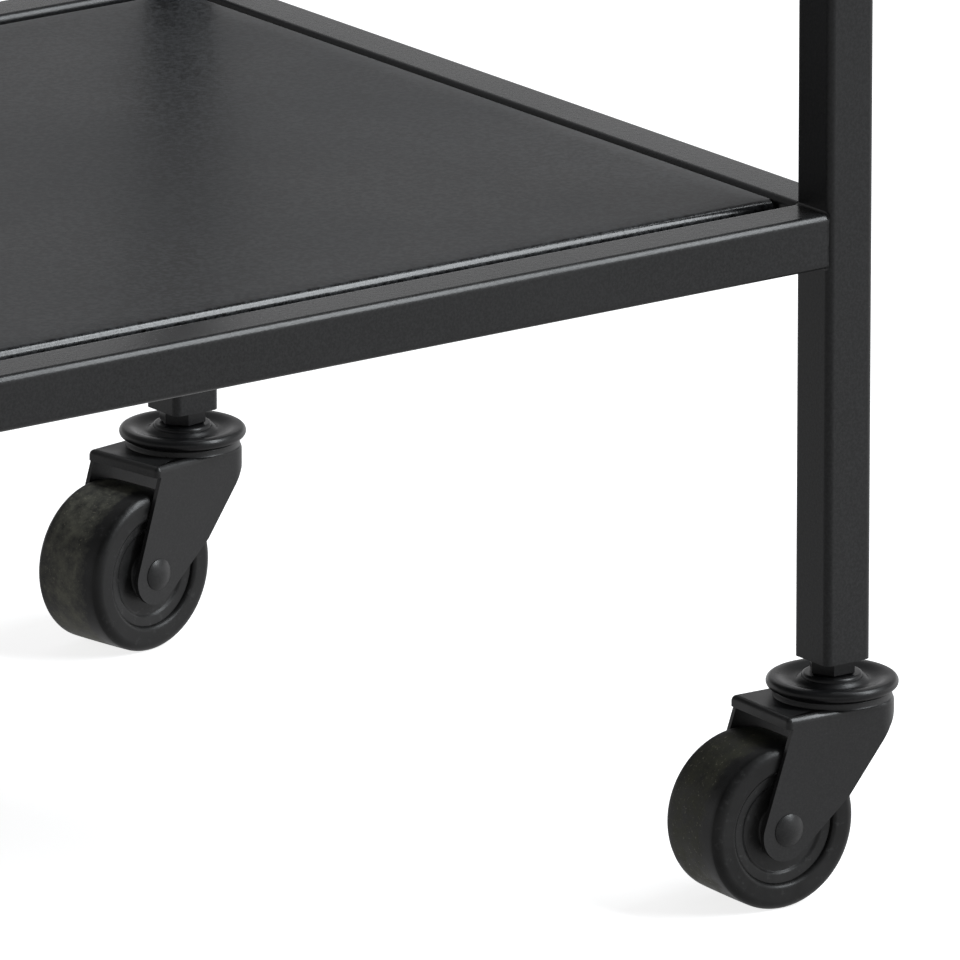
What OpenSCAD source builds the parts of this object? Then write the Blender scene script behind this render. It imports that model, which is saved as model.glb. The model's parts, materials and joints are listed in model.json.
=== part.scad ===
// Two-shelf rolling cart in square steel tube, with inset sheet-steel shelf pans and
// four swivel stem casters. Millimetres. X runs across the cart, Y from front to back,
// Z up. The origin is on the floor, under the middle of the frame.

/* [Cart] */
// Width of the frame across its legs
cart_w = 600; // [480:5:900]
// Depth of the frame across its legs
cart_d = 465; // [380:5:600]
// Height from the floor to the top of the leg caps
cart_h = 800; // [700:5:950]
// Height of the lower shelf's rails above the foot of the legs
shelf_rise = 184.4; // [120:0.2:300]

/* [Tube] */
// Side of the square leg tube
leg_w = 22.2; // [20:0.2:30]
// Side of the square rail tube
rail_w = 22.2; // [18:0.2:28]
// Wall thickness of both tubes
tube_wall = 1.5; // [1:0.1:2.5]
// Outside corner radius of both tubes
tube_r = 3; // [1.6:0.1:3.4]
// Thickness of the flange of a leg cap
cap_t = 2.5; // [1.5:0.1:5]

/* [Shelf pans] */
// Gap between a pan and the rails at its two ends
pan_end_gap = 0.5; // [0.4:0.1:8]
// Gap between a pan and the rails in front and behind
pan_side_gap = 8.5; // [0.4:0.1:10]
// Thickness of the pan's sheet
pan_t = 1.2; // [0.8:0.1:2]
// Drop of a pan's top below the top of the rails
pan_drop = 0; // [0:0.1:3]
// Outside radius of the pan's rolled-down edges
pan_r = 3.5; // [2.5:0.1:5]
// Height of the pan's turned-down edges
pan_edge_h = 12; // [9:0.5:14]
// Width of the lip turned in under each edge
pan_lip = 12; // [10:0.5:20]
// Side of the square cut out of each corner of a pan
pan_notch = 3.5; // [2.5:0.1:8]

/* [Casters] */
// Diameter of the wheel
wheel_d = 67; // [62:0.5:67.5]
// Width of the tyre
wheel_w = 36.4; // [30:0.2:36.4]
// Height of the foot of the legs above the floor
caster_h = 94; // [93.5:0.1:96]
// Distance from the swivel axis to the axle
trail = 34.5; // [32:0.5:36]
// Distance from the fork's middle to the outside of each arm
fork_half = 20.7; // [20.7:0.1:22]
// Radius of the round top plate
plate_r = 26.3; // [26:0.1:28]
// Diameter of the stem's thread and of the kingpin
stem_d = 10; // [8:0.5:11]

/* [Hidden] */
$fn = 64;

SIDES = [["front", -1], ["back", 1]];
ENDS = [["right", 1], ["left", -1]];
// Corner name, side to side, front to back, and the way the caster trails, in degrees
CORNERS = [
    ["front_right", 1, -1, 177.4],
    ["back_right", 1, 1, 189.4],
    ["front_left", -1, -1, 9],
    ["back_left", -1, 1, -14]
];
CASTER_PIECES = ["stem", "top_plate", "balls", "fork", "sleeve", "axle", "wheel_core", "tyre"];
SHELF_PIECES = ["pan", "tabs", "screws", "nuts"];
SHELVES = ["lower", "upper"];

NODES = concat(
    [for (c = CORNERS) str(c[0], "_leg")],
    [for (c = CORNERS) str(c[0], "_socket")],
    [for (s = SHELVES, d = SIDES) str(s, "_", d[0], "_rail")],
    [for (s = SHELVES, e = ENDS) str(s, "_", e[0], "_rail")],
    [for (s = SHELVES, p = SHELF_PIECES) str(s, "_", p)],
    ["leg_caps"],
    [for (c = CORNERS, p = CASTER_PIECES) str(c[0], "_", p)]
);
node = "all";

function shown(name) = node == "all" || node == name;

// Frame
leg_top = cart_h - cap_t;
shelf_top = [caster_h + shelf_rise, leg_top];
leg_x = (cart_w - leg_w) / 2;
leg_y = (cart_d - leg_w) / 2;
socket_h = 30;
socket_play = 0.1;
cap_plug_h = 12;

// Shelf fixings: six angle tabs under each pan, each with one screw and nut
tab_t = 2;
tab_w = 24;
screw_r = 2.5;
screw_play = 0.1;
screw_head_r = 4.6;
screw_head_h = 2.7;
screw_key_d = 3.4;
screw_tail = 2;
nut_across = 8;
nut_h = 4;
inner_x = cart_w / 2 - rail_w;
inner_y = cart_d / 2 - rail_w;
tab_hole_in = 7.5;
tab_past_gap = 15;
// Place on the rail, turn and gap to bridge of each tab: two on the front and back rails, one on each end
TABS = [
    for (x = [-0.3, 0.3], s = [-1, 1]) [[x * cart_w, s * inner_y], s * -90, pan_side_gap],
    for (s = [-1, 1]) [[s * inner_x, 0], s > 0 ? 180 : 0, pan_end_gap]
];

// Caster, from the floor up, in its own frame: swivel axis at the origin, trailing along +X
axle_z = wheel_d / 2;
fork_t = 2;
fork_top = caster_h - 15;
race_r = 24.5;
race_step_r = 23.4;
race_step_w = 3.4;
race_step_h = 2.6;
fork_front = 35;
fork_lip_h = 4.5;
nose_r = 11;
nose = [trail + 1.1, axle_z - 1.5];
knee = [5.5, 43];
skirt_x = -sqrt(race_r * race_r - (fork_half - fork_t / 2) * (fork_half - fork_t / 2));
skirt_side_z = 68;
skirt_back_z = 75.5;
axle_r = 4;
sleeve_r = 6;
head_r = 5.6;
head_h = 2.2;
ball_r = 2;
ball_pitch_r = 16.5;
ball_count = 16;
fit_play = 0.05;
face_play = 0.35;
plate_under = caster_h - 12;
bead_r = 2.25;
plate_t = 2;
boss_r = 11.5;
collar_h = 6;
collar_across = 17;
king_head_r = 9;
king_head_h = 2.5;
king_r = stem_d / 2;
king_foot = fork_top - fork_t - face_play - king_head_h;
stem_h = 26;
core_r = 25;
core_w = 31;
hub_r = 10;
hub_w = 2 * (fork_half - fork_t - face_play);
shoulder_r = 4;
side_ring_in = 27;
inner_gap = fork_half - fork_t;

// A square with round corners, and the same with a square hole through it
module round_square(side, r) {
    square([side, side - 2 * r], center = true);
    square([side - 2 * r, side], center = true);
    for (x = [-1, 1], y = [-1, 1])
        translate([x, y] * (side / 2 - r)) circle(r);
}

module square_tube(side, length) {
    difference() {
        linear_extrude(length) round_square(side, tube_r);
        translate([0, 0, -1]) linear_extrude(length + 2) square(side - 2 * tube_wall, center = true);
    }
}

module leg(sx, sy) {
    color("#3a3c3f") translate([sx * leg_x, sy * leg_y, caster_h])
        square_tube(leg_w, leg_top - caster_h);
}

// Plug in the foot of a leg that holds the caster's stem
module socket(sx, sy) {
    side = leg_w - 2 * tube_wall - 2 * socket_play;
    color("#202124") translate([sx * leg_x, sy * leg_y, caster_h]) difference() {
        translate([-side / 2, -side / 2, 0]) cube([side, side, socket_h]);
        translate([0, 0, -1]) cylinder(r = king_r + fit_play, h = socket_h + 2);
    }
}

module leg_caps() {
    side = leg_w - 2 * tube_wall - 2 * socket_play;
    color("#202124") for (c = CORNERS)
        translate([c[1] * leg_x, c[2] * leg_y, leg_top]) {
            linear_extrude(cap_t) round_square(leg_w, tube_r);
            translate([-side / 2, -side / 2, -cap_plug_h]) cube([side, side, cap_plug_h]);
        }
}

// Rail along X, flush with the outside of the front or back legs
module long_rail(sy, top) {
    length = cart_w - 2 * leg_w;
    color("#3a3c3f") translate([-length / 2, sy * (cart_d - rail_w) / 2, top - rail_w / 2])
        rotate([90, 0, 90]) square_tube(rail_w, length);
}

// Rail along Y, flush with the outside of the end legs
module short_rail(sx, top) {
    length = cart_d - 2 * leg_w;
    color("#3a3c3f") translate([sx * (cart_w - rail_w) / 2, length / 2, top - rail_w / 2])
        rotate([90, 0, 0]) square_tube(rail_w, length);
}

// Section of a block whose top edges are rounded, top face at zero, seen end on
module topped(width, height, r) {
    translate([-width / 2, -height]) square([width, height - r]);
    translate([-width / 2 + r, -height]) square([width - 2 * r, height]);
    for (x = [-1, 1]) translate([x * (width / 2 - r), -r]) circle(r);
}

// Block with rounded top edges on all four sides, top face at zero
module topped_block(w, d, height, r) {
    intersection() {
        translate([0, d / 2, 0]) rotate([90, 0, 0]) linear_extrude(d) topped(w, height, r);
        translate([-w / 2, 0, 0]) rotate([90, 0, 90]) linear_extrude(w) topped(d, height, r);
    }
}

// Steel shelf pan: rolled edges turned down, then in, with square corner notches
module pan(top) {
    w = 2 * (inner_x - pan_end_gap);
    d = 2 * (inner_y - pan_side_gap);
    color("#45484b") translate([0, 0, top - pan_drop]) difference() {
        topped_block(w, d, pan_edge_h, pan_r);
        intersection() {
            translate([0, 0, -pan_t])
                topped_block(w - 2 * pan_t, d - 2 * pan_t, pan_edge_h - pan_t, pan_r - pan_t);
            translate([-w / 2, -d / 2, pan_t - pan_edge_h]) cube([w, d, pan_edge_h]);
        }
        translate([pan_lip - w / 2, pan_lip - d / 2, -pan_edge_h - 1])
            cube([w - 2 * pan_lip, d - 2 * pan_lip, pan_t + 2]);
        for (x = [-1, 1], y = [-1, 1])
            translate([x * w / 2 - pan_notch, y * d / 2 - pan_notch, -pan_edge_h - 1])
                cube([2 * pan_notch, 2 * pan_notch, pan_edge_h + 2]);
        translate([0, 0, -pan_edge_h - 1])
            at_tabs() cylinder(r = screw_r + screw_play, h = pan_t + 2);
    }
}

// Children at each tab's screw hole
module at_tabs() {
    for (t = TABS)
        translate(t[0]) rotate(t[1]) translate([t[2] + tab_hole_in, 0, 0]) children();
}

// Welded tabs that carry the pan's lips
module tabs(top) {
    color("#3a3c3f") translate([0, 0, top - pan_drop - pan_edge_h - tab_t]) difference() {
        for (t = TABS)
            translate(t[0]) rotate(t[1]) translate([0, -tab_w / 2, 0])
                cube([t[2] + tab_past_gap, tab_w, tab_t]);
        translate([0, 0, -1]) at_tabs() cylinder(r = screw_r + screw_play, h = tab_t + 2);
    }
}

module screws(top) {
    color("#6b6d70") translate([0, 0, top - pan_drop - pan_edge_h - tab_t]) at_tabs() difference() {
        union() {
            cylinder(r = screw_r, h = tab_t + pan_t + nut_h + screw_tail);
            translate([0, 0, -screw_head_h]) cylinder(r = screw_head_r, h = screw_head_h);
        }
        translate([0, 0, -screw_head_h - 1]) cylinder(d = screw_key_d, h = screw_head_h, $fn = 6);
    }
}

module nuts(top) {
    color("#6b6d70") translate([0, 0, top - pan_drop - pan_edge_h + pan_t]) at_tabs() difference() {
        cylinder(d = nut_across / cos(30), h = nut_h, $fn = 6);
        translate([0, 0, -1]) cylinder(r = screw_r, h = nut_h + 2);
    }
}

// Threaded stem, hexagonal collar and the kingpin that the fork turns on
module stem() {
    color("#1c1d1f") {
        translate([0, 0, king_foot]) cylinder(r = king_r, h = caster_h + stem_h - king_foot);
        translate([0, 0, king_foot]) cylinder(r = king_head_r, h = king_head_h);
        translate([0, 0, caster_h - collar_h])
            cylinder(d = collar_across / cos(30), h = collar_h, $fn = 6);
    }
}

// Stamped round plate over the ball race: rolled rim, valley and raised boss
module top_plate() {
    boss_top = caster_h - collar_h;
    color("#1c1d1f") rotate_extrude() difference() {
        union() {
            translate([plate_r - bead_r, plate_under + bead_r]) circle(bead_r);
            translate([0, plate_under + bead_r - plate_t / 2]) square([plate_r - bead_r, plate_t]);
            polygon([
                [0, plate_under + bead_r],
                [boss_r + 2, plate_under + bead_r],
                [boss_r, boss_top - 1],
                [boss_r - 1, boss_top],
                [0, boss_top]
            ]);
        }
        translate([-1, 0]) square([1 + king_r, caster_h]);
        translate([-bead_r * 2, 0]) square([bead_r * 2, caster_h]);
    }
}

// Ring of steel balls that rolls on the fork's top
module balls() {
    color("#8a8c8f") for (i = [0:ball_count - 1])
        rotate(i * 360 / ball_count) translate([ball_pitch_r, 0, fork_top + ball_r]) sphere(ball_r);
}

// Where the line from a point outside a circle touches it; side picks one of the two
function touch(p, c, r, side) =
    let (
        v = p - c,
        away = atan2(v[1], v[0]),
        turn = acos(r / norm(v))
    )
    c + r * [cos(away + side * turn), sin(away + side * turn)];

// Outline of a fork arm in the plane of travel
function arm_outline() =
    let (front_top = [fork_front, fork_top])
    [
        [skirt_x, fork_top],
        front_top,
        touch(front_top, nose, nose_r, -1),
        nose,
        touch(knee, nose, nose_r, 1),
        knee,
        [skirt_x, skirt_side_z]
    ];

// Outline of the round skirt behind the arms
function skirt_outline() = [
    [skirt_x, fork_top],
    [skirt_x, skirt_side_z],
    [-race_r - 1, skirt_back_z],
    [-race_r - 1, fork_top]
];

module along_y(width) {
    translate([0, width / 2, 0]) rotate([90, 0, 0]) linear_extrude(width) children();
}

// Pressed steel fork: round race, two arms, short lip in front and skirt behind
module fork() {
    color("#26282a") difference() {
        union() {
            translate([0, 0, fork_top - fork_t]) cylinder(r = race_r, h = fork_t);
            translate([0, -fork_half, fork_top - fork_t]) cube([fork_front, 2 * fork_half, fork_t]);
            difference() {
                translate([0, 0, fork_top - fork_t]) cylinder(r = race_step_r, h = fork_t + race_step_h);
                translate([0, 0, fork_top]) cylinder(r = race_step_r - race_step_w, h = race_step_h + 1);
            }
            for (s = [-1, 1]) translate([0, s * (fork_half - fork_t / 2), 0]) {
                along_y(fork_t) polygon(arm_outline());
                translate([nose[0], 0, nose[1]]) rotate([90, 0, 0])
                    cylinder(r = nose_r, h = fork_t, center = true);
            }
            translate([fork_front - fork_t, -fork_half, fork_top - fork_lip_h])
                cube([fork_t, 2 * fork_half, fork_lip_h]);
            intersection() {
                difference() {
                    cylinder(r = race_r, h = fork_top);
                    translate([0, 0, -1]) cylinder(r = race_r - fork_t, h = fork_top + 2);
                }
                along_y(2 * race_r) polygon(skirt_outline());
            }
        }
        translate([0, 0, fork_top - fork_t - 1]) cylinder(r = king_r + fit_play, h = fork_t + 2);
        translate([trail, 0, axle_z]) rotate([90, 0, 0])
            cylinder(r = axle_r + fit_play, h = 3 * fork_half, center = true);
    }
}

// Distance tube between the fork's arms that the wheel turns on
module sleeve() {
    color("#8a8c8f") translate([trail, 0, axle_z]) rotate([90, 0, 0]) difference() {
        cylinder(r = sleeve_r, h = 2 * inner_gap, center = true);
        cylinder(r = axle_r + fit_play, h = 2 * inner_gap + 2, center = true);
    }
}

// Axle rivet with a domed head on each side
module axle() {
    dome_r = (head_r * head_r + head_h * head_h) / (2 * head_h);
    color("#26282a") translate([trail, 0, axle_z]) {
        rotate([90, 0, 0]) cylinder(r = axle_r, h = 2 * fork_half, center = true);
        for (s = [-1, 1]) intersection() {
            translate([0, s * (fork_half + head_h - dome_r), 0]) sphere(dome_r);
            translate([0, s * (fork_half + head_h / 2), 0]) rotate([90, 0, 0])
                cylinder(r = head_r, h = head_h, center = true);
        }
    }
}

// A turned piece on the axle, from a half section drawn as radius against width
module turned() {
    translate([trail, 0, axle_z]) rotate([90, 0, 0]) rotate_extrude() children();
}

module wheel_core() {
    color("#191a1b") turned() difference() {
        union() {
            translate([0, -core_w / 2]) square([core_r, core_w]);
            translate([0, -hub_w / 2]) square([hub_r, hub_w]);
        }
        translate([-1, -hub_w]) square([1 + sleeve_r + fit_play, 2 * hub_w]);
    }
}

// Rubber tread ring with rounded shoulders, its side faces proud of the core
module tyre() {
    tread_w = wheel_w - 2 * shoulder_r;
    side_r = axle_z - shoulder_r;
    color("#202020") turned() {
        translate([core_r, -core_w / 2]) square([side_r - core_r, core_w]);
        translate([side_ring_in, -wheel_w / 2]) square([side_r - side_ring_in, wheel_w]);
        translate([side_r, -tread_w / 2]) square([shoulder_r, tread_w]);
        for (s = [-1, 1]) translate([side_r, s * tread_w / 2]) circle(shoulder_r);
    }
}

module caster(c) {
    translate([c[1] * leg_x, c[2] * leg_y, 0]) rotate(c[3]) children();
}

for (c = CORNERS) {
    if (shown(str(c[0], "_leg"))) leg(c[1], c[2]);
    if (shown(str(c[0], "_socket"))) socket(c[1], c[2]);
}
for (i = [0, 1], d = SIDES)
    if (shown(str(SHELVES[i], "_", d[0], "_rail"))) long_rail(d[1], shelf_top[i]);
for (i = [0, 1], e = ENDS)
    if (shown(str(SHELVES[i], "_", e[0], "_rail"))) short_rail(e[1], shelf_top[i]);
for (i = [0, 1]) {
    if (shown(str(SHELVES[i], "_pan"))) pan(shelf_top[i]);
    if (shown(str(SHELVES[i], "_tabs"))) tabs(shelf_top[i]);
    if (shown(str(SHELVES[i], "_screws"))) screws(shelf_top[i]);
    if (shown(str(SHELVES[i], "_nuts"))) nuts(shelf_top[i]);
}
if (shown("leg_caps")) leg_caps();
for (c = CORNERS) {
    if (shown(str(c[0], "_stem"))) caster(c) stem();
    if (shown(str(c[0], "_top_plate"))) caster(c) top_plate();
    if (shown(str(c[0], "_balls"))) caster(c) balls();
    if (shown(str(c[0], "_fork"))) caster(c) fork();
    if (shown(str(c[0], "_sleeve"))) caster(c) sleeve();
    if (shown(str(c[0], "_axle"))) caster(c) axle();
    if (shown(str(c[0], "_wheel_core"))) caster(c) wheel_core();
    if (shown(str(c[0], "_tyre"))) caster(c) tyre();
}
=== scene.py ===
"""Looks of the rolling shelf cart: detailed meshes, materials, light and camera."""

import json
import math

import bmesh
import bpy
from mathutils import Matrix, Vector


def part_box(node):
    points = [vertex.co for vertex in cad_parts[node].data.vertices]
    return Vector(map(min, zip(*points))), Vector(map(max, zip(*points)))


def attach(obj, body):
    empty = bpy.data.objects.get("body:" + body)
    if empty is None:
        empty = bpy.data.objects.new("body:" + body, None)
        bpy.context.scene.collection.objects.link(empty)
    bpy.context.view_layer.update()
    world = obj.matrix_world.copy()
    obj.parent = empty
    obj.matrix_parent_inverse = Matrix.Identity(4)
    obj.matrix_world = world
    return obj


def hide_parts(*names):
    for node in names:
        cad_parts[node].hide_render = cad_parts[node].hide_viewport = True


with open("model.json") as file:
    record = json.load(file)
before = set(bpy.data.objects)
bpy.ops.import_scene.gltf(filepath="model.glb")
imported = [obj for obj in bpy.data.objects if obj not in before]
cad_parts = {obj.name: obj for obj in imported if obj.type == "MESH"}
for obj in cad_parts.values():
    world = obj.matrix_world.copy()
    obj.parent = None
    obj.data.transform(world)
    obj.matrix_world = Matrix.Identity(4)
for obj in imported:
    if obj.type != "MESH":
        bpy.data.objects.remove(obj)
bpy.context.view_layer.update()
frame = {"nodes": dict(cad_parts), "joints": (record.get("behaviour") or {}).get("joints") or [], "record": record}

MM = 0.001
CORNERS = ("front_right", "back_right", "front_left", "back_left")
SHELVES = ("lower", "upper")
SIDES = ("front", "back", "right", "left")

# Tube and pan, in millimetres, as the frame has them
TUBE_R = 3.0
TUBE_WALL = 1.5
PAN_T = 1.2
PAN_R = 3.5
PAN_LIP = 12.0

# Caster, in millimetres, in its own frame: swivel axis at the origin, trailing along +X
AXLE_X = 34.5
AXLE_Z = 33.5
FORK_TOP = 79.0
FORK_T = 2.0
FORK_HALF = 20.7
RACE_R = 24.5
FORK_FRONT = 35.0
NOSE = (35.6, 32.0)
NOSE_R = 11.0
KNEE = (5.5, 43.0)
FORK_LIP = 4.5
SKIRT_X = -14.57
SKIRT_SIDE_Z = 68.0
SKIRT_BACK_Z = 75.5
PLATE_R = 26.3
PLATE_UNDER = 82.0
LEG_FOOT = 94.0
COLLAR_H = 6.0
COLLAR_ACROSS = 17.0
KING_R = 5.0
TYRE_R = 33.5
TYRE_HALF = 18.2
CORE_R = 25.0
CORE_HALF = 15.5
HUB_R = 10.0
HUB_HALF = 18.3
SLEEVE_R = 6.0
AXLE_MIDDLE = Vector((AXLE_X, 0, AXLE_Z)) * MM
# Takes a shape turned about Z to the wheel's axle, along Y of the caster's own frame
AXLE_PLACE = Matrix.Translation(AXLE_MIDDLE) @ Matrix.Rotation(-math.pi / 2, 4, "X")


# ---------------------------------------------------------------- mesh helpers


def arc(centre, radius, start, stop, steps):
    """Points along a circle, angles in degrees."""
    angles = [math.radians(start + (stop - start) * i / steps) for i in range(steps + 1)]
    return [(centre[0] + radius * math.cos(a), centre[1] + radius * math.sin(a)) for a in angles]


def swell(start, stop, steps):
    """Points of a soft step from one place to another, level at both ends."""
    points = []
    for i in range(steps + 1):
        x = start[0] + (stop[0] - start[0]) * i / steps
        rise = (1 - math.cos(math.pi * i / steps)) / 2
        points.append((x, start[1] + (stop[1] - start[1]) * rise))
    return points


def finish_piece(name, bm, body, material, sharp=40, place=None, replaces=()):
    """Turns a bmesh drawn in millimetres into a piece that rides on a body."""
    bmesh.ops.remove_doubles(bm, verts=bm.verts, dist=1e-5)
    bmesh.ops.recalc_face_normals(bm, faces=bm.faces)
    mesh = bpy.data.meshes.new(name)
    bm.to_mesh(mesh)
    bm.free()
    mesh.transform((place or Matrix.Identity(4)) @ Matrix.Scale(MM, 4))
    mesh.shade_smooth()
    mesh.set_sharp_from_angle(angle=math.radians(sharp))
    mesh.materials.append(material)
    piece = bpy.data.objects.new(name, mesh)
    bpy.context.scene.collection.objects.link(piece)
    flats = piece.modifiers.new("flats", "WEIGHTED_NORMAL")
    flats.keep_sharp = True
    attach(piece, body)
    if replaces:
        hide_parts(*replaces)


def bridge(bm, ring_a, ring_b, closed=True):
    """Quads between two rings of vertices of the same length."""
    count = len(ring_a)
    for i in range(count if closed else count - 1):
        j = (i + 1) % count
        bm.faces.new((ring_a[i], ring_a[j], ring_b[j], ring_b[i]))


def ring(bm, points):
    """Vertices at the points, in their order."""
    return [bm.verts.new(p) for p in points]


def lathe(bm, profile, steps=96, closed=True):
    """Turns (radius, height) points about Z."""
    rings = []
    for i in range(steps):
        a = 2 * math.pi * i / steps
        rings.append(ring(bm, [(r * math.cos(a), r * math.sin(a), z) for r, z in profile]))
    for here, after in zip(rings, rings[1:] + rings[:1]):
        bridge(bm, here, after, closed)


def tube(bm, outline, inner, length):
    """A hollow bar along Z from two outlines with the same number of points."""
    outer_low = ring(bm, [(x, y, 0) for x, y in outline])
    outer_high = ring(bm, [(x, y, length) for x, y in outline])
    inner_low = ring(bm, [(x, y, 0) for x, y in inner])
    inner_high = ring(bm, [(x, y, length) for x, y in inner])
    bridge(bm, outer_low, outer_high)
    bridge(bm, inner_high, inner_low)
    bridge(bm, inner_low, outer_low)
    bridge(bm, outer_high, inner_high)


def round_square(side, radius, steps=8):
    """Outline of a square with round corners, about the origin."""
    half = side / 2 - radius
    points = []
    for quarter, (sx, sy) in enumerate(((1, 1), (-1, 1), (-1, -1), (1, -1))):
        points += arc((sx * half, sy * half), radius, 90 * quarter, 90 * quarter + 90, steps)
    return points


# ------------------------------------------------------------------- materials


class Shader:
    """A short way to write a node material."""

    def __init__(self, name):
        self.material = bpy.data.materials.new(name)
        self.material.use_nodes = True
        self.tree = self.material.node_tree
        self.bsdf = self.tree.nodes["Principled BSDF"]
        coords = self.tree.nodes.new("ShaderNodeTexCoord")
        self.place = coords.outputs["Object"]

    def node(self, kind, **settings):
        made = self.tree.nodes.new(kind)
        for key, value in settings.items():
            setattr(made, key, value)
        return made

    def link(self, out, into):
        self.tree.links.new(out, into)

    def noise(self, scale, detail=3.0, rough=0.5, stretch=None):
        """Noise in cycles per metre."""
        made = self.node("ShaderNodeTexNoise")
        made.inputs["Scale"].default_value = scale
        made.inputs["Detail"].default_value = detail
        made.inputs["Roughness"].default_value = rough
        source = self.place
        if stretch:
            mapping = self.node("ShaderNodeMapping")
            mapping.inputs["Scale"].default_value = stretch
            self.link(source, mapping.inputs["Vector"])
            source = mapping.outputs["Vector"]
        self.link(source, made.inputs["Vector"])
        return made.outputs["Fac"]

    def spread(self, value, low, high, out_low=0.0, out_high=1.0):
        """Maps low..high of a value onto out_low..out_high, with the ends held."""
        made = self.node("ShaderNodeMapRange")
        made.inputs["From Min"].default_value = low
        made.inputs["From Max"].default_value = high
        made.inputs["To Min"].default_value = out_low
        made.inputs["To Max"].default_value = out_high
        self.link(value, made.inputs["Value"])
        return made.outputs["Result"]

    def math(self, operation, a, b):
        made = self.node("ShaderNodeMath", operation=operation)
        for socket, value in zip(made.inputs, (a, b)):
            if isinstance(value, (int, float)):
                socket.default_value = value
            else:
                self.link(value, socket)
        return made.outputs["Value"]

    def mix(self, factor, a, b):
        """Blends two colours; each is a colour or another node's output."""
        made = self.node("ShaderNodeMix", data_type="RGBA")
        self.link(factor, made.inputs["Factor"])
        for socket, value in ((made.inputs["A"], a), (made.inputs["B"], b)):
            if isinstance(value, tuple):
                socket.default_value = (*value, 1.0)
            else:
                self.link(value, socket)
        return made.outputs["Result"]

    def bump(self, height, strength, distance, under=None):
        made = self.node("ShaderNodeBump")
        made.inputs["Strength"].default_value = strength
        made.inputs["Distance"].default_value = distance
        self.link(height, made.inputs["Height"])
        if under is not None:
            self.link(under, made.inputs["Normal"])
        return made.outputs["Normal"]

    def set(self, **values):
        """Sets or links the shader's sockets, named with underscores for spaces."""
        for key, value in values.items():
            socket = self.bsdf.inputs[key.replace("_", " ")]
            if isinstance(value, bpy.types.NodeSocket):
                self.link(value, socket)
            elif isinstance(value, tuple):
                socket.default_value = (*value, 1.0)
            else:
                socket.default_value = value
        return self


def powder_coat(name, dark, light, rough, edge_rough, grain_scale, speckle, level):
    """Satin powder coat: fine speckle, faint orange peel and slow patches of sheen.

    What faces straight up has one roughness (rough), and edges and sides another (edge_rough).
    """
    peel_scale = 520
    cloud_scale = 9
    s = Shader(name)
    grain = s.noise(grain_scale, 4.0, 0.8)
    clouds = s.noise(cloud_scale, 3.0, 0.55)
    colour = s.mix(s.spread(grain, 0.42, 0.6), dark, light)
    patched = s.mix(s.spread(clouds, 0.35, 0.7, 0.0, 0.3), colour, light)
    peel = s.bump(s.noise(peel_scale, 2.0, 0.5), 0.16, 0.00025)
    fine = s.bump(grain, speckle, 0.00012, under=peel)
    facing = s.node("ShaderNodeSeparateXYZ")
    s.link(s.node("ShaderNodeNewGeometry").outputs["Normal"], facing.inputs["Vector"])
    flat = s.spread(facing.outputs["Z"], 0.93, 0.995, edge_rough, rough)
    slow = s.spread(clouds, 0.3, 0.75, -0.035, 0.035)
    quick = s.spread(grain, 0.35, 0.65, -0.03, 0.03)
    sheen = s.math("ADD", flat, s.math("ADD", slow, quick))
    s.set(Base_Color=patched, Roughness=sheen, Specular_IOR_Level=level, Normal=fine)
    return s.material


def pressed_black(name, dark, light, rough, level):
    """Black finish over pressed steel: soft press marks, light scuffs and pits."""
    wave_scale = 60
    scuff_scale = 420
    pit_scale = 1100
    uneven = 0.06
    scuffed = tuple(2.2 * c for c in light)
    s = Shader(name)
    waves = s.noise(wave_scale, 2.0, 0.5)
    scuffs = s.spread(s.noise(scuff_scale, 4.0, 0.7, stretch=(1.0, 1.0, 3.0)), 0.62, 0.78)
    pits = s.noise(pit_scale, 2.0, 0.6)
    colour = s.mix(scuffs, s.mix(s.spread(pits, 0.4, 0.7), dark, light), scuffed)
    sheen = s.math("ADD", s.spread(waves, 0.3, 0.7, rough - uneven, rough + uneven),
                   s.spread(scuffs, 0.0, 1.0, 0.0, 2 * uneven))
    dents = s.bump(waves, 0.25, 0.0006)
    s.set(Base_Color=colour, Roughness=sheen, Specular_IOR_Level=level,
          Normal=s.bump(pits, 0.2, 0.0001, under=dents))
    return s.material


def hard_rubber(name, dark, light):
    """Moulded hard rubber with a faint bloom, small scuffs and fine grit; gives its Shader."""
    bloom_scale = 70
    scuff_scale = 260
    grit_scale = 1300
    scuffed = tuple(2.4 * c for c in light)
    s = Shader(name)
    bloom = s.noise(bloom_scale, 4.0, 0.65)
    grit = s.noise(grit_scale, 3.0, 0.7)
    scuff = s.spread(s.noise(scuff_scale, 5.0, 0.75), 0.57, 0.72)
    base = s.mix(s.spread(bloom, 0.38, 0.64), dark, light)
    colour = s.mix(scuff, base, scuffed)
    smooth = s.spread(bloom, 0.3, 0.7, 0.3, 0.46)
    sheen = s.math("ADD", smooth, s.spread(scuff, 0.0, 1.0, 0.0, 0.15))
    s.set(Base_Color=colour, Roughness=sheen, Specular_IOR_Level=0.42,
          Normal=s.bump(grit, 0.25, 0.00015))
    return s


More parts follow.
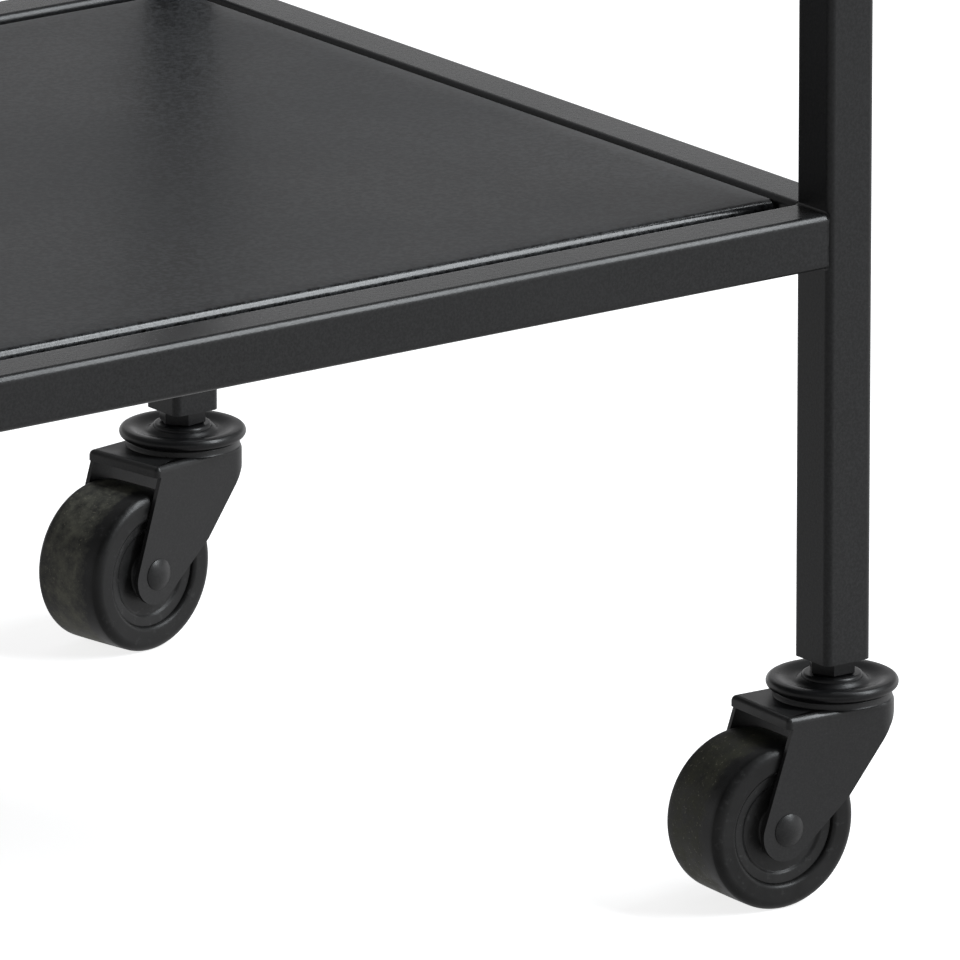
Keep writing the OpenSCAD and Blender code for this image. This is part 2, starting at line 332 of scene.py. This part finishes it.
def worn_tread(name, dark, light, dust, middle, axis):
    """Hard rubber with a ragged dusty band round the tread and pale grit in it.

    The wheel's middle and axis are in metres, in the cart's frame at rest, as are the widths here.
    """
    band_offset = 0.003
    band_full, band_end = 0.0085, 0.0135
    tread_low, tread_full = 0.0315, 0.0328
    pale_grit = (0.22, 0.21, 0.16)
    s = hard_rubber(name, dark, light)
    across = s.node("ShaderNodeVectorMath", operation="SUBTRACT")
    across.inputs[1].default_value = middle
    s.link(s.place, across.inputs[0])
    along = s.node("ShaderNodeVectorMath", operation="DOT_PRODUCT")
    along.inputs[1].default_value = axis
    s.link(across.outputs["Vector"], along.inputs[0])
    offset = s.math("ABSOLUTE", s.math("ADD", along.outputs["Value"], band_offset), 0.0)
    length = s.node("ShaderNodeVectorMath", operation="LENGTH")
    s.link(across.outputs["Vector"], length.inputs[0])
    ragged = s.math("ADD", offset, s.spread(s.noise(190, 4.0, 0.7), 0.2, 0.8, -0.004, 0.004))
    band = s.spread(ragged, band_full, band_end, 1.0, 0.0)
    outside = s.spread(length.outputs["Value"], tread_low, tread_full)
    patches = s.spread(s.noise(120, 5.0, 0.75), 0.38, 0.66, 0.15, 1.0)
    worn = s.math("MULTIPLY", s.math("MULTIPLY", band, outside), patches)
    specks = s.math("MULTIPLY", s.spread(s.noise(800, 3.0, 0.6), 0.61, 0.72), band)
    plain = s.bsdf.inputs["Base Color"].links[0].from_socket
    dusty = s.mix(worn, plain, dust)
    s.set(Base_Color=s.mix(s.math("MULTIPLY", specks, outside), dusty, pale_grit))
    smooth = s.bsdf.inputs["Roughness"].links[0].from_socket
    s.set(Roughness=s.math("ADD", smooth, s.spread(worn, 0.0, 1.0, 0.0, 0.3)))
    return s.material


def plated(name, colour, rough):
    """Plated or oiled steel with fine turning marks."""
    s = Shader(name)
    marks = s.noise(700, 3.0, 0.6, stretch=(1.0, 1.0, 6.0))
    tone = s.mix(s.spread(marks, 0.3, 0.7), colour, tuple(0.7 * c for c in colour))
    s.set(Base_Color=tone, Metallic=1.0, Roughness=s.spread(marks, 0.3, 0.7, rough, rough + 0.15),
          Normal=s.bump(marks, 0.1, 0.0001))
    return s.material


def moulded_plastic(name, colour):
    """Matt moulded plastic with a fine grain."""
    s = Shader(name)
    grain = s.noise(900, 3.0, 0.6)
    tone = s.mix(s.spread(grain, 0.3, 0.7), colour, tuple(1.5 * c for c in colour))
    s.set(Base_Color=tone, Roughness=s.spread(grain, 0.3, 0.7, 0.5, 0.65),
          Normal=s.bump(grain, 0.3, 0.0001))
    return s.material


FRAME_COAT = powder_coat(
    "frame_coat", dark=(0.011, 0.0113, 0.0118), light=(0.026, 0.0266, 0.0276),
    rough=0.27, edge_rough=0.33, grain_scale=900, speckle=0.2, level=0.5)
SHELF_COAT = powder_coat(
    "shelf_coat", dark=(0.003, 0.0034, 0.0036), light=(0.054, 0.0564, 0.0596),
    rough=0.44, edge_rough=0.2, grain_scale=430, speckle=0.12, level=0.4)
CASTER_BLACK = pressed_black(
    "caster_black", dark=(0.006, 0.006, 0.0065), light=(0.012, 0.012, 0.013), rough=0.33, level=0.5)
FORK_BLACK = pressed_black(
    "fork_black", dark=(0.015, 0.015, 0.0155), light=(0.024, 0.024, 0.0245), rough=0.38, level=0.58)
CORE_RUBBER = hard_rubber(
    "core_rubber", dark=(0.019, 0.019, 0.019), light=(0.031, 0.031, 0.031)).material
ZINC = plated("zinc_steel", (0.45, 0.46, 0.47), 0.3)
BEARING = plated("bearing_steel", (0.5, 0.5, 0.51), 0.2)
PLUG = moulded_plastic("plug_plastic", (0.006, 0.006, 0.0065))
BY_SLOT = {
    "frame_coat": FRAME_COAT,
    "shelf_coat": SHELF_COAT,
    "plug_plastic": PLUG,
    "zinc_steel": ZINC,
    "bearing_steel": BEARING,
    "caster_black": CASTER_BLACK,
    "fork_black": FORK_BLACK,
    "core_rubber": CORE_RUBBER,
    "tyre_rubber": CORE_RUBBER,
}


def dress_cad_nodes():
    """Gives every CAD node that stays in view its finish."""
    for part in frame["record"]["subparts"]:
        node = frame["nodes"][part["node"]]
        node.data.materials.clear()
        node.data.materials.append(BY_SLOT[part["material_slot"]])


# ----------------------------------------------------------------------- frame


def bar(node, along):
    """A square tube with round corners that fills a CAD node's box; along is its axis, 0 to 2."""
    low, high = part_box(node)
    side = (high[1 - min(along, 1)] - low[1 - min(along, 1)]) / MM
    length = (high[along] - low[along]) / MM
    middle = (low + high) / 2
    middle[along] = low[along]
    along_x = Matrix.Rotation(math.pi / 2, 4, "Y")
    along_y = Matrix.Rotation(-math.pi / 2, 4, "X")
    turn = (along_x, along_y, Matrix.Identity(4))[along]
    outline = round_square(side, TUBE_R)
    inner = round_square(side - 2 * TUBE_WALL, TUBE_R - TUBE_WALL)
    bm = bmesh.new()
    tube(bm, outline, inner, length)
    place = Matrix.Translation(middle) @ turn
    finish_piece(f"{node}_tube", bm, "frame", FRAME_COAT,
                 place=place, replaces=(node,))


def bead(bm, rail_low, rail_high, along, end, outward):
    """A thin weld fillet round one end of a rail, flush where rail and leg are flush.

    The rail's box is in millimetres, along is its axis, and end and outward are 1 or -1.
    """
    toe = 0.9
    steps = 4
    middle = (rail_low + rail_high) / 2
    side = rail_high[2] - rail_low[2]
    leg_face = (rail_high if end > 0 else rail_low)[along]
    across = 1 - along
    rings = []
    for step in range(steps + 1):
        a = math.pi / 2 * step / steps
        out = toe * (1 - math.sin(a))
        back = toe * (1 - math.cos(a))
        points = []
        for u, v in round_square(side + 2 * out, TUBE_R + out):
            at = [0, 0, middle[2] + v]
            at[along] = leg_face - end * back
            at[across] = middle[across] + outward * min(u, side / 2)
            points.append(at)
        rings.append(ring(bm, points))
    for here, after in zip(rings, rings[1:]):
        bridge(bm, here, after)


def shelf_frame(shelf):
    """Four rails and the weld fillets at their ends."""
    bm = bmesh.new()
    for side in SIDES:
        node = f"{shelf}_{side}_rail"
        low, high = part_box(node)
        along = 0 if side in ("front", "back") else 1
        outward = -1 if side in ("front", "left") else 1
        bar(node, along)
        for end in (-1, 1):
            bead(bm, low / MM, high / MM, along, end, outward)
    finish_piece(f"{shelf}_welds", bm, "frame", FRAME_COAT, sharp=80)


def pan_section(radius, thick, height, lip, shoulder, sag):
    """The pan's edge from the flat outward, as (outward, up) points, and back on its inner side.

    It has a soft shoulder that sags, a roll, a turned-down edge and a turned-in lip.
    """
    tilt = math.degrees(math.atan(2 * sag / shoulder))
    easing = [(-shoulder * (1 - t), -sag * t * t) for t in (0, 0.25, 0.5, 0.75)]
    outer = easing + [(x, y - sag) for x, y in arc((0, -radius), radius, 90 - tilt, 0, 12)]
    inner = [(x, y - sag) for x, y in arc((0, -radius), radius - thick, 0, 90 - tilt, 12)]
    inner += [(x, y - thick) for x, y in reversed(easing)]
    folds = [(radius, -height), (radius - lip, -height), (radius - lip, thick - height)]
    return outer + folds + [(radius - thick, thick - height)] + inner


def pan(shelf):
    """Sheet pan: flat top with a soft shoulder and four folded edges that stop at corner notches."""
    node = f"{shelf}_pan"
    low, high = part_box(node)
    half_x = (high[0] - low[0]) / MM / 2 - PAN_R
    half_y = (high[1] - low[1]) / MM / 2 - PAN_R
    height = (high[2] - low[2]) / MM
    shoulder = 9.0
    sag = 0.15
    droop = 0.25
    section = pan_section(PAN_R, PAN_T, height, PAN_LIP, shoulder, sag)
    bm = bmesh.new()
    sides = (
        ((1, 0), (0, 1), half_x, half_y),
        ((0, 1), (-1, 0), half_y, half_x),
        ((-1, 0), (0, -1), half_x, half_y),
        ((0, -1), (1, 0), half_y, half_x),
    )
    for out, along, reach, half in sides:
        back = [shoulder * i / 4 for i in range(5)]
        stations = [step - half for step in back] + [half - step for step in reversed(back)]
        rings = []
        for station in stations:
            points = []
            for x, z in section:
                limit = half + min(0, x)
                at = max(-limit, min(limit, station))
                far = reach + x
                points.append((out[0] * far + along[0] * at, out[1] * far + along[1] * at, z))
            rings.append(ring(bm, points))
        for here, after in zip(rings, rings[1:]):
            bridge(bm, here, after, closed=False)
        # A fold is closed at its ends from the roll outward; its shoulder meets the next side's
        for end in (rings[0], rings[-1]):
            bm.faces.new(end[4:-4])
    for z in (0, -PAN_T):
        x, y = half_x - shoulder, half_y - shoulder
        bm.faces.new(ring(bm, [(x, y, z), (-x, y, z), (-x, -y, z), (x, -y, z)]))
    # The two ends of the pan droop a little more than its front and back
    for v in bm.verts:
        if v.co.z > -height / 2:
            near_end = max(0, (min(abs(v.co.x), half_x) - half_x + shoulder) / shoulder)
            v.co.z -= droop * near_end ** 2
    place = Matrix.Translation(((low[0] + high[0]) / 2, (low[1] + high[1]) / 2, high[2]))
    finish_piece(f"{shelf}_pan_sheet", bm, "frame", SHELF_COAT, sharp=50,
                 place=place, replaces=(node,))


def leg_cap_tops():
    """Square caps with soft edges on top of the legs."""
    soft = 0.8
    steps = 4
    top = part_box("leg_caps")[1][2] / MM
    bm = bmesh.new()
    for corner in CORNERS:
        low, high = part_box(f"{corner}_leg")
        x = (low[0] + high[0]) / 2 / MM
        y = (low[1] + high[1]) / 2 / MM
        side = (high[0] - low[0]) / MM
        levels = [(0, high[2] / MM)]
        for step in range(steps + 1):
            a = math.pi / 2 * step / steps
            levels.append((soft * (1 - math.cos(a)), top - soft + soft * math.sin(a)))
        rings = []
        for inset, z in levels:
            outline = round_square(side - 2 * inset, TUBE_R - inset)
            rings.append(ring(bm, [(x + px, y + py, z) for px, py in outline]))
        for here, after in zip(rings, rings[1:]):
            bridge(bm, here, after)
        bm.faces.new(rings[-1])
        bm.faces.new(rings[0])
    finish_piece("leg_cap_tops", bm, "frame", PLUG, replaces=("leg_caps",))


# ---------------------------------------------------------------------- casters


def caster_place(corner):
    """Matrix from a caster's own frame to the cart, read from its wheel's joint."""
    joints = {j["name"]: j for j in frame["joints"]}
    swivel = joints[f"{corner}_caster_swivel"]["pos_m"]
    axis = joints[f"{corner}_wheel_spin"]["axis"]
    angle = math.atan2(-axis[0], axis[1])
    return Matrix.Translation((swivel[0], swivel[1], 0)) @ Matrix.Rotation(angle, 4, "Z")


def top_plate(corner, place):
    """Stamped plate: rolled rim, wide convex crest, valley and raised boss round the stem."""
    roll = 2.25
    under = PLATE_UNDER + 1.3
    crest = PLATE_UNDER + 2 * roll
    valley = (15.5, PLATE_UNDER + 2.7)
    boss_r = 12.3
    boss_top = LEG_FOOT - COLLAR_H - 0.05
    boss_edge = 1.5
    profile = [(KING_R + 0.1, under), (PLATE_R - 2 * roll, under)]
    profile += arc((PLATE_R - roll, PLATE_UNDER + roll), roll, -140, 80, 15)
    profile += swell((PLATE_R - 1.5 * roll, crest), valley, 8)
    profile += swell(valley, (boss_r, boss_top - boss_edge), 5)[1:]
    profile += arc((boss_r - boss_edge, boss_top - boss_edge), boss_edge, 25, 90, 5)
    profile += [(KING_R + 0.1, boss_top)]
    bm = bmesh.new()
    lathe(bm, profile)
    finish_piece(f"{corner}_pressed_plate", bm, "frame", CASTER_BLACK, sharp=50,
                 place=place, replaces=(f"{corner}_top_plate",))


def stem(corner, place):
    """Hexagonal collar with chamfered edges, threaded stem, kingpin and its riveted head."""
    chamfer = 0.7
    gap = 0.35
    head_h = 2.5
    neck = 0.4
    pitch = 1.5
    turns = 16
    groove = 0.8
    bm = bmesh.new()
    flat = COLLAR_ACROSS / 2
    low, high = LEG_FOOT - COLLAR_H, LEG_FOOT - 0.05
    rings = []
    for z, inset in ((low, chamfer), (low + chamfer, 0), (high - chamfer, 0), (high, chamfer)):
        r = (flat - inset) / math.cos(math.pi / 6)
        rings.append(ring(bm, [(*xy, z) for xy in arc((0, 0), r, 0, 300, 5)]))
    for here, after in zip(rings, rings[1:]):
        bridge(bm, here, after)
    bm.faces.new(rings[0])
    bm.faces.new(rings[-1])
    foot = FORK_TOP - FORK_T - gap - head_h
    profile = [(0, foot), (7.6, foot), (8.6, foot + 0.5), (9.0, foot + 1.3), (8.7, foot + head_h)]
    profile += [(KING_R, foot + head_h), (KING_R, high + neck)]
    for turn in range(turns):
        z = high + neck + pitch * turn
        profile += [(KING_R - groove, z + 0.5 * pitch), (KING_R, z + pitch)]
    tip = high + neck + pitch * turns + 1.0
    profile += [(KING_R - 0.9, tip), (0, tip)]
    lathe(bm, profile, 48, closed=False)
    finish_piece(f"{corner}_threaded_stem", bm, "frame", CASTER_BLACK, sharp=32,
                 place=place, replaces=(f"{corner}_stem",))


def touch(p, c, r, side):
    """Where the line from a point outside a circle touches it; side picks one of the two."""
    away = math.atan2(p[1] - c[1], p[0] - c[0])
    turn = math.acos(r / math.dist(p, c))
    return (c[0] + r * math.cos(away + side * turn), c[1] + r * math.sin(away + side * turn))


def rear_edge(x):
    """Height of the lower edge behind the knee: up the arm, then round the skirt."""
    if x > SKIRT_X:
        return SKIRT_SIDE_Z + (x - SKIRT_X) * (KNEE[1] - SKIRT_SIDE_Z) / (KNEE[0] - SKIRT_X)
    return SKIRT_SIDE_Z + (x - SKIRT_X) * (SKIRT_BACK_Z - SKIRT_SIDE_Z) / (-RACE_R - SKIRT_X)


def arm_outline(front_x, rear_x, top_z):
    """Fork arm below its bend, as (x, z) points.

    From the bend's front end it goes down, round the nose and back up to the bend's rear end.
    """
    nose_steps = 28
    lip_low = FORK_TOP - FORK_LIP
    front = touch((front_x, lip_low), NOSE, NOSE_R, -1)
    rear = touch(KNEE, NOSE, NOSE_R, 1)
    start = math.degrees(math.atan2(front[1] - NOSE[1], front[0] - NOSE[0]))
    stop = math.degrees(math.atan2(rear[1] - NOSE[1], rear[0] - NOSE[0]))
    while stop > start:
        stop -= 360
    points = [(front_x, top_z), (front_x, lip_low)]
    points += arc(NOSE, NOSE_R, start, stop, nose_steps)
    points += [KNEE, (rear_x, rear_edge(rear_x)), (rear_x, top_z)]
    return points


def fork_path():
    """Half of the fork's plan outline, from the middle of the front to the middle of the back.

    Gives its points with their normals, and where along it the straight side starts and stops.
    """
    corner_r = 2.2
    corner_steps = 9
    blend_r = 9.0
    blend_steps = 8
    race_steps = 14
    path = [((FORK_FRONT, 0), (1, 0))]

    def follow(centre, radius, degrees):
        a = math.radians(degrees)
        n = (math.cos(a), math.sin(a))
        path.append(((centre[0] + radius * n[0], centre[1] + radius * n[1]), n))

    for i in range(corner_steps + 1):
        follow((FORK_FRONT - corner_r, FORK_HALF - corner_r), corner_r, 90 * i / corner_steps)
    side_start = len(path) - 1
    side_stop = len(path)
    # The blend lies inside both the side line and the race circle
    cy = FORK_HALF - blend_r
    cx = -math.sqrt((RACE_R - blend_r) ** 2 - cy ** 2)
    meet = math.degrees(math.atan2(cy, cx))
    for i in range(blend_steps + 1):
        follow((cx, cy), blend_r, 90 + (meet - 90) * i / blend_steps)
    for i in range(1, race_steps + 1):
        follow((0, 0), RACE_R, meet + (180 - meet) * i / race_steps)
    return path, side_start, side_stop


def fork(corner, place):
    """Pressed fork: a sheet with soft bends, drawn as its outer skin and thickened inward."""
    bend = 2.4
    bend_steps = 6
    edge_bevel = 0.3
    half, side_start, side_stop = fork_path()
    path = half + [((p[0], -p[1]), (n[0], -n[1])) for p, n in reversed(half[1:-1])]
    sides = ((1, side_start, side_stop), (-1, len(path) - side_start, len(path) - side_stop))
    skin = {}
    bm = bmesh.new()

    def vert(at, normal):
        """The outer and the inner vertex at a place on the outer skin."""
        key = tuple(round(c, 4) for c in at)
        if key not in skin:
            outer = bm.verts.new(at)
            inner = bm.verts.new([c - FORK_T * n for c, n in zip(at, normal)])
            skin[key] = (outer, inner)
        return skin[key]

    faces = []

    def face(corners):
        corners = [c for i, c in enumerate(corners) if c is not corners[i - 1]]
        if len(corners) > 2:
            faces.append(corners)

    bend_z = FORK_TOP - bend
    lip_low = FORK_TOP - FORK_LIP
    columns = []
    for index, (p, n) in enumerate(path):
        place_in_half = index if index < len(half) else len(path) - index
        column = []
        for step in range(bend_steps + 1):
            a = math.pi / 2 * step / bend_steps
            reach = bend * (math.sin(a) - 1)
            at = (p[0] + n[0] * reach, p[1] + n[1] * reach, bend_z + bend * math.cos(a))
            column.append(vert(at, (n[0] * math.sin(a), n[1] * math.sin(a), math.cos(a))))
        if place_in_half <= side_start:
            column.append(vert((p[0], p[1], lip_low), (*n, 0)))
        elif place_in_half >= side_stop:
            column.append(vert((p[0], p[1], rear_edge(p[0])), (*n, 0)))
        columns.append(column)
    for here, after in zip(range(len(path)), [*range(1, len(path)), 0]):
        along_arm = any({here, after} == {a, b} for _, a, b in sides)
        for step in range(min(len(columns[here]), len(columns[after])) - 1):
            # Below its bend the straight side belongs to the arm
            if step >= bend_steps and along_arm:
                continue
            face([columns[here][step], columns[after][step],
                  columns[after][step + 1], columns[here][step + 1]])
    for sign, a, b in sides:
        front, rear = path[a][0][0], path[b][0][0]
        side_points = arm_outline(front, rear, bend_z)
        outline = [vert((x, sign * FORK_HALF, z), (0, sign, 0)) for x, z in side_points]
        face(outline if sign > 0 else outline[::-1])
    face([column[0] for column in columns])
    # An edge that only one face has is on the sheet's rim, and is closed by its thickness
    edges = {}
    for corners in faces:
        bm.faces.new([c[0] for c in corners])
        bm.faces.new([c[1] for c in reversed(corners)])
        for u, v in zip(corners, corners[1:] + corners[:1]):
            if (v[0], u[0]) in edges:
                del edges[(v[0], u[0])]
            else:
                edges[(u[0], v[0])] = (u, v)
    for u, v in edges.values():
        bm.faces.new((u[0], u[1], v[1], v[0]))
    bmesh.ops.recalc_face_normals(bm, faces=bm.faces)
    square = math.radians(60)
    rims = [e for e in bm.edges if len(e.link_faces) == 2 and e.calc_face_angle() > square]
    bmesh.ops.bevel(bm, geom=rims, offset=edge_bevel, segments=2, affect="EDGES", profile=0.5,
                    clamp_overlap=True)
    race_ridge(bm)
    finish_piece(f"{corner}_pressed_fork", bm, f"{corner}_swivel", FORK_BLACK,
                 sharp=38, place=place, replaces=(f"{corner}_fork",))


def race_ridge(bm):
    """Low round ridge pressed up round the fork's race, under the plate's rim."""
    ridge_r = 23.4
    ridge_top = FORK_TOP + 2.6
    edge = 0.9
    width = 2.6
    foot = FORK_TOP - 0.3
    profile = [(ridge_r + 0.5, foot), (ridge_r + 0.1, FORK_TOP + 0.35)]
    profile += arc((ridge_r - edge, ridge_top - edge), edge, 0, 90, 5)
    profile += arc((ridge_r - width, ridge_top - edge), edge, 90, 150, 4)
    profile += [(ridge_r - width - 1.0, foot)]
    lathe(bm, profile)


def axle_rivet(corner, place):
    """Axle with a low domed head on each side."""
    pin_r = 4.0
    head_r = 6.6
    head_h = 2.2
    rim_h = 0.25
    dome_h = 1.9
    dome_steps = 12
    half = [(pin_r, 0), (pin_r, FORK_HALF), (head_r - 0.15, FORK_HALF), (head_r, FORK_HALF + rim_h)]
    dome_r = (head_r ** 2 + dome_h ** 2) / (2 * dome_h)
    for i in range(1, dome_steps + 1):
        r = head_r * (1 - i / dome_steps)
        half.append((r, FORK_HALF + head_h - dome_r + math.sqrt(dome_r ** 2 - r ** 2)))
    bm = bmesh.new()
    lathe(bm, [(r, -y) for r, y in reversed(half[1:])] + half[1:], 64, closed=False)
    finish_piece(f"{corner}_axle_rivet", bm, f"{corner}_swivel", FORK_BLACK, sharp=50,
                 place=place @ AXLE_PLACE, replaces=(f"{corner}_axle",))


def mirrored(half):
    """A closed section from its half with positive widths, as (radius, width)."""
    return half + [(r, -y) for r, y in reversed(half)]


def wheel(corner, place, tread):
    """Moulded core with a dished face and hub rings, and the wide tyre with its side ring."""
    body = f"{corner}_wheel"
    face = CORE_HALF + 1.0
    dish = face - 1.5
    dish_r = 17.6
    face_r = 19.4
    lip_r = 22.9
    play = 0.05
    core = [(SLEEVE_R + play, HUB_HALF - 0.4), (SLEEVE_R + 0.45, HUB_HALF), (HUB_R - 0.6, HUB_HALF)]
    core += [(HUB_R - 0.1, HUB_HALF - 0.5), (HUB_R + 0.3, face - 0.6), (HUB_R + 1.2, dish)]
    core += swell((dish_r, dish), (face_r, face - 0.5), 4)
    core += [(lip_r - 0.6, face - 0.1), (lip_r - 0.1, face - 0.3), (lip_r - play, CORE_HALF - play)]
    core += [(CORE_R - play, CORE_HALF - play)]
    bm = bmesh.new()
    lathe(bm, mirrored(core), 128)
    finish_piece(f"{corner}_moulded_core", bm, body, CORE_RUBBER, sharp=60,
                 place=place @ AXLE_PLACE, replaces=(f"{corner}_wheel_core",))
    inner_edge = 2.0
    shoulder = 4.2
    crown = 0.08
    half = [(CORE_R, CORE_HALF), (lip_r + 0.3, CORE_HALF + play), (lip_r, CORE_HALF + 0.4)]
    half += arc((lip_r + inner_edge, TYRE_HALF - inner_edge), inner_edge, 180, 90, 6)
    half += arc((TYRE_R - shoulder, TYRE_HALF - shoulder), shoulder, 90, 8, 12)[:-1]
    half += [(TYRE_R - crown, TYRE_HALF - shoulder - 0.6), (TYRE_R - crown / 4, 7.0), (TYRE_R, 2.5)]
    bm = bmesh.new()
    lathe(bm, mirrored(half), 160)
    finish_piece(f"{corner}_tyre_ring", bm, body, tread, sharp=60,
                 place=place @ AXLE_PLACE, replaces=(f"{corner}_tyre",))


def caster(corner, dust):
    """All the visible pieces of one caster, with the colour of the dust on its tread."""
    tread_dark = (0.010, 0.010, 0.010)
    tread_light = (0.018, 0.018, 0.018)
    place = caster_place(corner)
    top_plate(corner, place)
    stem(corner, place)
    fork(corner, place)
    axle_rivet(corner, place)
    middle = place @ AXLE_MIDDLE
    axis = (place.to_3x3() @ Vector((0, 1, 0))).normalized()
    tread = worn_tread(f"{corner}_tread", tread_dark, tread_light, dust, middle, axis)
    wheel(corner, place, tread)


# ------------------------------------------------------------------ the object

dress_cad_nodes()
for corner in CORNERS:
    bar(f"{corner}_leg", 2)
for shelf in SHELVES:
    shelf_frame(shelf)
    pan(shelf)
leg_cap_tops()
DUST = {
    "front_right": (0.070, 0.071, 0.046),
    "back_right": (0.16, 0.16, 0.125),
    "front_left": (0.060, 0.060, 0.044),
    "back_left": (0.050, 0.050, 0.036),
}
for corner in CORNERS:
    caster(corner, DUST[corner])

# ------------------------------------------------------- floor, light and camera


def floor():
    """White floor to all sides."""
    s = Shader("floor_white")
    shade = s.noise(0.8, 2.0, 0.5)
    s.set(Base_Color=s.mix(shade, (0.90, 0.90, 0.90), (0.93, 0.93, 0.93)), Roughness=0.9,
          Specular_IOR_Level=0.0, Emission_Color=(1.0, 1.0, 1.0), Emission_Strength=0.8)
    bm = bmesh.new()
    reach = 40.0
    corners = ((-reach, -reach, 0), (reach, -reach, 0), (reach, reach, 0), (-reach, reach, 0))
    bm.faces.new(ring(bm, corners))
    mesh = bpy.data.meshes.new("studio_floor")
    bm.to_mesh(mesh)
    bm.free()
    mesh.materials.append(s.material)
    made = bpy.data.objects.new("studio_floor", mesh)
    bpy.context.scene.collection.objects.link(made)
    # The object is lit and mirrored by the soft room all round, not by the white floor
    made.visible_diffuse = False
    made.visible_glossy = False
    made.visible_shadow = False


def surroundings():
    """Soft grey room, brightest at the horizon behind and to the right, dimmer above and left."""
    brightest_side = (0.95, 0.3, 0.0)
    dim_side = 0.42
    coolness = 1.01
    # Height of a direction, from -1 straight down to 1 straight up, and the brightness there
    stops = (
        (-1.0, 0.45), (-0.3, 0.65), (-0.12, 0.7), (0.0, 1.0), (0.12, 0.95), (0.21, 0.75),
        (0.25, 0.39), (0.28, 0.31), (0.36, 0.38), (0.5, 0.3), (0.65, 0.18), (1.0, 0.3),
    )
    world = bpy.data.worlds.new("soft_room")
    world.use_nodes = True
    bpy.context.scene.world = world
    tree = world.node_tree
    coords = tree.nodes.new("ShaderNodeTexCoord")
    parts = tree.nodes.new("ShaderNodeSeparateXYZ")
    tree.links.new(coords.outputs["Generated"], parts.inputs["Vector"])
    ramp = tree.nodes.new("ShaderNodeValToRGB")
    height = tree.nodes.new("ShaderNodeMapRange")
    height.inputs["From Min"].default_value = -1.0
    tree.links.new(parts.outputs["Z"], height.inputs["Value"])
    tree.links.new(height.outputs["Result"], ramp.inputs["Fac"])
    ramp.color_ramp.elements[0].position = 0.0
    ramp.color_ramp.elements[1].position = 1.0
    for at, _ in stops[1:-1]:
        ramp.color_ramp.elements.new((at + 1) / 2)
    for element, (_, level) in zip(ramp.color_ramp.elements, stops):
        element.color = (level, level, level * coolness, 1.0)
    side = tree.nodes.new("ShaderNodeVectorMath")
    side.operation = "DOT_PRODUCT"
    side.inputs[1].default_value = brightest_side
    tree.links.new(coords.outputs["Generated"], side.inputs[0])
    fall = tree.nodes.new("ShaderNodeMapRange")
    fall.inputs["From Min"].default_value = -0.6
    fall.inputs["From Max"].default_value = 0.8
    fall.inputs["To Min"].default_value = dim_side
    fall.inputs["To Max"].default_value = 1.0
    tree.links.new(side.outputs["Value"], fall.inputs["Value"])
    tree.links.new(ramp.outputs["Color"], tree.nodes["Background"].inputs["Color"])
    tree.links.new(fall.outputs["Result"], tree.nodes["Background"].inputs["Strength"])


def softbox(name, toward, distance, width, height, radiance, aim, long_side):
    """Rectangular softbox at a distance along a direction from the point it is aimed at."""
    light = bpy.data.lights.new(name, "AREA")
    light.shape = "RECTANGLE"
    light.size = width
    light.size_y = height
    light.energy = radiance * width * height * math.pi
    light.color = (0.93, 0.97, 1.0)
    made = bpy.data.objects.new(name, light)
    bpy.context.scene.collection.objects.link(made)
    back = Vector(toward).normalized()
    up = Vector(long_side)
    up = (up - back * up.dot(back)).normalized()
    turn = Matrix((up.cross(back), up, back)).transposed().to_4x4()
    made.matrix_world = Matrix.Translation(Vector(aim) + back * distance) @ turn


def camera():
    """Long lens, low three-quarter view from the front left at the lower right of the cart."""
    azimuth = math.radians(36.22)
    height = math.radians(16.17)
    away = 7.0196
    aim = Vector((0.158, -0.1653, 0.1756))
    level = math.cos(height)
    forward = Vector((math.sin(azimuth) * level, math.cos(azimuth) * level, -math.sin(height)))
    data = bpy.data.cameras.new("camera")
    data.sensor_width = 36.0
    data.lens = 673.4
    data.clip_start = 0.1
    data.clip_end = 200.0
    made = bpy.data.objects.new("camera", data)
    bpy.context.scene.collection.objects.link(made)
    made.location = aim - forward * away
    made.rotation_euler = forward.to_track_quat("-Z", "Y").to_euler()
    bpy.context.scene.camera = made


floor()
surroundings()
softbox("key_softbox", toward=(0.5675, -0.46, 0.68), distance=3.0, width=0.6, height=3.0,
        radiance=13.0, aim=(0.1, -0.1, 0.3), long_side=(0.0, 0.8, 0.55))
camera()
view = bpy.context.scene.view_settings
view.view_transform = "Standard"
view.look = "None"
